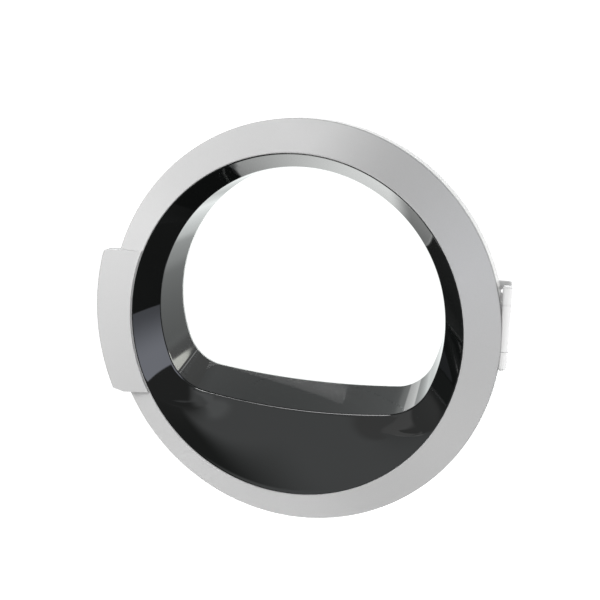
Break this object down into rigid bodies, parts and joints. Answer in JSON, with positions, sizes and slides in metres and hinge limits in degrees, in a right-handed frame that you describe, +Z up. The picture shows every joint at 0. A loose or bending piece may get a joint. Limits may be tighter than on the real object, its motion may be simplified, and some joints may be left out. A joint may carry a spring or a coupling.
{
  "type": "tumble dryer door",
  "caption": "Round door with a bevelled silver ring, side grip tab, black funnel that narrows to a D-shaped window, rear liner, hinge and sprung latch hook.",
  "frame": {"origin": "centre of the round loading opening, on the cabinet's front plane, with the door closed", "axes": "-Y out of the machine towards the user, +X towards the hinge, +Z up"},
  "size_m": [0.5065, 0.0842, 0.478],
  "materials": {
    "silver_paint": "fine satin silver lacquer",
    "black_gloss": "high gloss moulded black",
    "clear_pane": "clear and smooth",
    "pale_plastic": "fine moulded grain",
    "soft_seal": "matt",
    "dark_plastic": "fine moulded grain",
    "painted_steel": "smooth pale coat",
    "bare_steel": "zinc plated"
  },
  "bodies": {
    "bracket": {"hinge_bracket": "painted_steel", "hinge_pin": "bare_steel", "pin_clip": "bare_steel"},
    "door": {"trim_ring": "silver_paint", "handle_cover": "silver_paint", "handle_insert": "silver_paint", "handle_screws": "bare_steel", "window_funnel": "black_gloss", "window_seal": "soft_seal", "window_glass": "clear_pane", "rear_liner": "pale_plastic", "liner_screws": "bare_steel", "door_gasket": "soft_seal", "hinge_plate": "bare_steel", "hinge_arm": "painted_steel", "hinge_arm_screws": "bare_steel", "hinge_bushes": "pale_plastic", "latch_housing": "dark_plastic", "latch_screws": "bare_steel", "latch_pin": "bare_steel", "latch_spring": "bare_steel"},
    "latch": {"latch_hook": "pale_plastic"}
  },
  "joints": [
    {"name": "door_swing", "type": "hinge", "parent": "bracket", "child": "door", "pos_m": [0.241, -0.022, 0.02], "axis": [0, 0, 1], "range_deg": [0, 160]},
    {"name": "latch_press", "type": "hinge", "parent": "door", "child": "latch", "pos_m": [-0.223, -0.013, -0.02], "axis": [0, 0, -1], "range_deg": [0, 12], "stiffness_Nm_per_rad": 0.08, "springref_deg": -28.65, "deforming": ["latch_spring"]}
  ]
}
